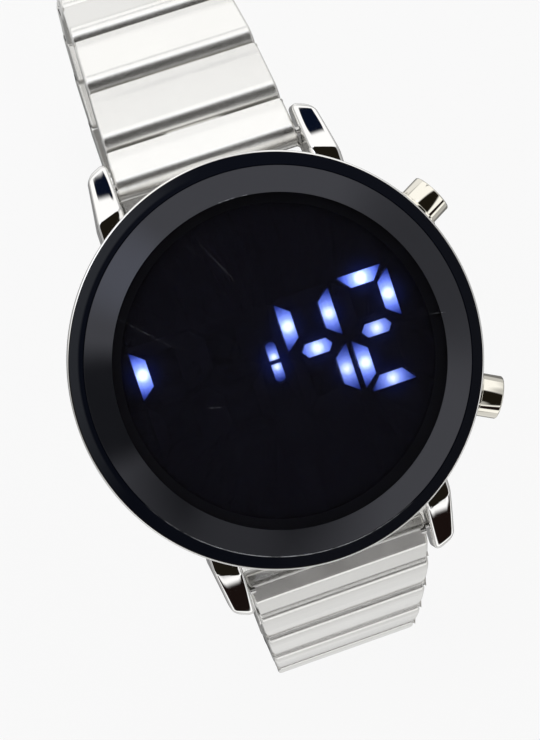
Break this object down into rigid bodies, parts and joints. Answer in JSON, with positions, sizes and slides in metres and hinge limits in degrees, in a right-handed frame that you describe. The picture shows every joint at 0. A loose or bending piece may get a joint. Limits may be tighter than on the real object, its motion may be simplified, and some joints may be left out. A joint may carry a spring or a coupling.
{
  "type": "led watch",
  "caption": "Round wristwatch with a bevelled black crystal over glowing bar digits, side pushers and a tapering slatted steel bracelet with a folding clasp.",
  "frame": {"origin": "centre of the case back's flat outer face", "axes": "+Z out of the crystal, +Y towards twelve o'clock, +X towards three o'clock"},
  "size_m": [0.0432, 0.0827, 0.0534],
  "materials": {
    "polished_steel": "polished stainless steel",
    "satin_steel": "satin stainless steel",
    "turned_steel": "turned stainless steel",
    "black_bezel": "gloss black",
    "crystal_glass": "smoked, polished",
    "filter_film": "dark film",
    "black_plastic": "moulded",
    "lit_diffuser": "translucent, lit",
    "unlit_diffuser": "translucent, unlit",
    "led_resin": "cast resin",
    "board_laminate": "lacquered laminate",
    "nickel": "nickel plate",
    "gilt_contact": "gilt",
    "seal_rubber": "moulded"
  },
  "bodies": {
    "watch_head": {"bezel": "black_bezel", "case": "polished_steel", "case_back": "satin_steel", "case_back_gasket": "seal_rubber", "case_back_screws": "turned_steel", "cell_contact_minus": "gilt_contact", "cell_contact_plus": "gilt_contact", "circuit_board": "board_laminate", "coin_cell": "nickel", "controller_chip": "black_plastic", "crystal": "crystal_glass", "crystal_gasket": "seal_rubber", "dark_bars": "unlit_diffuser", "dark_filter": "filter_film", "display_block": "black_plastic", "led_dies": "led_resin", "lit_bars": "lit_diffuser", "movement_ring": "black_plastic", "pusher_seal_lower": "seal_rubber", "pusher_seal_upper": "seal_rubber", "pusher_spring_lower": "turned_steel", "pusher_spring_upper": "turned_steel", "pusher_tube_lower": "polished_steel", "pusher_tube_upper": "polished_steel", "quartz_can": "nickel", "spring_bar_12": "turned_steel", "spring_bar_6": "turned_steel", "switch_lower": "gilt_contact", "switch_upper": "gilt_contact"},
    "upper_pusher": {"pusher_upper": "polished_steel", "pusher_clip_upper": "turned_steel"},
    "lower_pusher": {"pusher_lower": "polished_steel", "pusher_clip_lower": "turned_steel"},
    "end_link_12": {"end_link_12": "polished_steel"},
    "slat_12_1": {"slat_12_1": "polished_steel"},
    "slat_12_2": {"slat_12_2": "polished_steel"},
    "slat_12_3": {"slat_12_3": "polished_steel"},
    "slat_12_4": {"slat_12_4": "polished_steel"},
    "slat_12_5": {"slat_12_5": "polished_steel"},
    "slat_12_6": {"slat_12_6": "polished_steel"},
    "slat_12_7": {"slat_12_7": "polished_steel"},
    "slat_12_8": {"slat_12_8": "polished_steel"},
    "slat_12_9": {"slat_12_9": "polished_steel"},
    "end_link_6": {"end_link_6": "polished_steel"},
    "slat_6_1": {"slat_6_1": "polished_steel"},
    "slat_6_2": {"slat_6_2": "polished_steel"},
    "slat_6_3": {"slat_6_3": "polished_steel"},
    "slat_6_4": {"slat_6_4": "polished_steel"},
    "slat_6_5": {"slat_6_5": "polished_steel"},
    "slat_6_6": {"slat_6_6": "polished_steel"},
    "slat_6_7": {"slat_6_7": "polished_steel"},
    "slat_6_8": {"slat_6_8": "polished_steel"},
    "clasp_cover": {"clasp_cover": "polished_steel", "clasp_spring_bar": "turned_steel", "cover_hinge_pin": "turned_steel"},
    "middle_blade": {"middle_blade": "satin_steel"},
    "inner_blade": {"inner_blade": "satin_steel", "blade_hinge_pin": "turned_steel"}
  },
  "joints": [
    {"name": "press_upper", "type": "slide", "parent": "watch_head", "child": "upper_pusher", "axis": [-0.8829, -0.4695, 0], "range_m": [0, 0.0008], "stiffness_N_per_m": 150, "springref_m": -0.003, "deforming": ["pusher_spring_upper"]},
    {"name": "press_lower", "type": "slide", "parent": "watch_head", "child": "lower_pusher", "axis": [-0.8829, 0.4695, 0], "range_m": [0, 0.0008], "stiffness_N_per_m": 150, "springref_m": -0.003, "deforming": ["pusher_spring_lower"]},
    {"name": "fold_12", "type": "hinge", "parent": "watch_head", "child": "end_link_12", "pos_m": [0, 0.0217, 0.0016], "axis": [1, 0, 0], "range_deg": [0, 15]},
    {"name": "bend_12_1", "type": "hinge", "parent": "end_link_12", "child": "slat_12_1", "pos_m": [0, 0.02653, 0.00031], "axis": [1, 0, 0], "range_deg": [0, 6]},
    {"name": "bend_12_2", "type": "hinge", "parent": "slat_12_1", "child": "slat_12_2", "pos_m": [0, 0.03288, -0.00213], "axis": [1, 0, 0], "range_deg": [0, 12]},
    {"name": "bend_12_3", "type": "hinge", "parent": "slat_12_2", "child": "slat_12_3", "pos_m": [0, 0.03858, -0.00583], "axis": [1, 0, 0], "range_deg": [0, 20]},
    {"name": "bend_12_4", "type": "hinge", "parent": "slat_12_3", "child": "slat_12_4", "pos_m": [0, 0.04267, -0.01127], "axis": [1, 0, 0], "range_deg": [0, 20]},
    {"name": "bend_12_5", "type": "hinge", "parent": "slat_12_4", "child": "slat_12_5", "pos_m": [0, 0.04466, -0.01777], "axis": [1, 0, 0], "range_deg": [0, 20]},
    {"name": "bend_12_6", "type": "hinge", "parent": "slat_12_5", "child": "slat_12_6", "pos_m": [0, 0.04431, -0.02456], "axis": [1, 0, 0], "range_deg": [0, 20]},
    {"name": "bend_12_7", "type": "hinge", "parent": "slat_12_6", "child": "slat_12_7", "pos_m": [0, 0.04165, -0.03082], "axis": [1, 0, 0], "range_deg": [0, 20]},
    {"name": "bend_12_8", "type": "hinge", "parent": "slat_12_7", "child": "slat_12_8", "pos_m": [0, 0.03701, -0.03579], "axis": [1, 0, 0], "range_deg": [0, 20]},
    {"name": "bend_12_9", "type": "hinge", "parent": "slat_12_8", "child": "slat_12_9", "pos_m": [0, 0.03095, -0.03888], "axis": [1, 0, 0], "range_deg": [0, 20]},
    {"name": "fold_6", "type": "hinge", "parent": "watch_head", "child": "end_link_6", "pos_m": [0, -0.0217, 0.0016], "axis": [-1, 0, 0], "range_deg": [0, 45]},
    {"name": "bend_6_1", "type": "hinge", "parent": "end_link_6", "child": "slat_6_1", "pos_m": [0, -0.02524, -0.00194], "axis": [-1, 0, 0], "range_deg": [0, 13]},
    {"name": "bend_6_2", "type": "hinge", "parent": "slat_6_1", "child": "slat_6_2", "pos_m": [0, -0.02884, -0.0077], "axis": [-1, 0, 0], "range_deg": [0, 3]},
    {"name": "bend_6_3", "type": "hinge", "parent": "slat_6_2", "child": "slat_6_3", "pos_m": [0, -0.03214, -0.01365], "axis": [-1, 0, 0], "range_deg": [0, 5]},
    {"name": "bend_6_4", "type": "hinge", "parent": "slat_6_3", "child": "slat_6_4", "pos_m": [0, -0.0349, -0.01986], "axis": [-1, 0, 0], "range_deg": [0, 22]},
    {"name": "bend_6_5", "type": "hinge", "parent": "slat_6_4", "child": "slat_6_5", "pos_m": [0, -0.03514, -0.02666], "axis": [-1, 0, 0], "range_deg": [0, 22]},
    {"name": "bend_6_6", "type": "hinge", "parent": "slat_6_5", "child": "slat_6_6", "pos_m": [0, -0.03281, -0.03305], "axis": [-1, 0, 0], "range_deg": [0, 22]},
    {"name": "bend_6_7", "type": "hinge", "parent": "slat_6_6", "child": "slat_6_7", "pos_m": [0, -0.02826, -0.0381], "axis": [-1, 0, 0], "range_deg": [0, 22]},
    {"name": "bend_6_8", "type": "hinge", "parent": "slat_6_7", "child": "slat_6_8", "pos_m": [0, -0.02215, -0.04108], "axis": [-1, 0, 0], "range_deg": [0, 22]},
    {"name": "clasp_bend", "type": "hinge", "parent": "slat_6_8", "child": "clasp_cover", "pos_m": [0, -0.01537, -0.04156], "axis": [-1, 0, 0], "range_deg": [0, 4.72]},
    {"name": "clasp_open", "type": "hinge", "parent": "clasp_cover", "child": "middle_blade", "pos_m": [0, 0.01922, -0.04112], "axis": [-1, 0, 0], "range_deg": [0, 170]},
    {"name": "blade_open", "type": "hinge", "parent": "middle_blade", "child": "inner_blade", "pos_m": [0, -0.01088, -0.04055], "axis": [1, 0, 0], "range_deg": [0, 170]}
  ],
  "couplings": [
    {"joint": "bend_12_1", "follows": "fold_12", "ratio": 0.4},
    {"joint": "bend_12_2", "follows": "fold_12", "ratio": 0.8},
    {"joint": "bend_12_3", "follows": "fold_12", "ratio": 1.3333},
    {"joint": "bend_12_4", "follows": "fold_12", "ratio": 1.3333},
    {"joint": "bend_12_5", "follows": "fold_12", "ratio": 1.3333},
    {"joint": "bend_12_6", "follows": "fold_12", "ratio": 1.3333},
    {"joint": "bend_12_7", "follows": "fold_12", "ratio": 1.3333},
    {"joint": "bend_12_8", "follows": "fold_12", "ratio": 1.3333},
    {"joint": "bend_12_9", "follows": "fold_12", "ratio": 1.3333},
    {"joint": "bend_6_1", "follows": "fold_6", "ratio": 0.28889},
    {"joint": "bend_6_2", "follows": "fold_6", "ratio": 0.066666},
    {"joint": "bend_6_3", "follows": "fold_6", "ratio": 0.11111},
    {"joint": "bend_6_4", "follows": "fold_6", "ratio": 0.48889},
    {"joint": "bend_6_5", "follows": "fold_6", "ratio": 0.48889},
    {"joint": "bend_6_6", "follows": "fold_6", "ratio": 0.48889},
    {"joint": "bend_6_7", "follows": "fold_6", "ratio": 0.48889},
    {"joint": "bend_6_8", "follows": "fold_6", "ratio": 0.48889},
    {"joint": "clasp_bend", "follows": "fold_6", "ratio": 0.10494},
    {"joint": "clasp_open", "follows": "fold_6", "ratio": 3.7778},
    {"joint": "blade_open", "follows": "fold_6", "ratio": 3.7778}
  ]
}
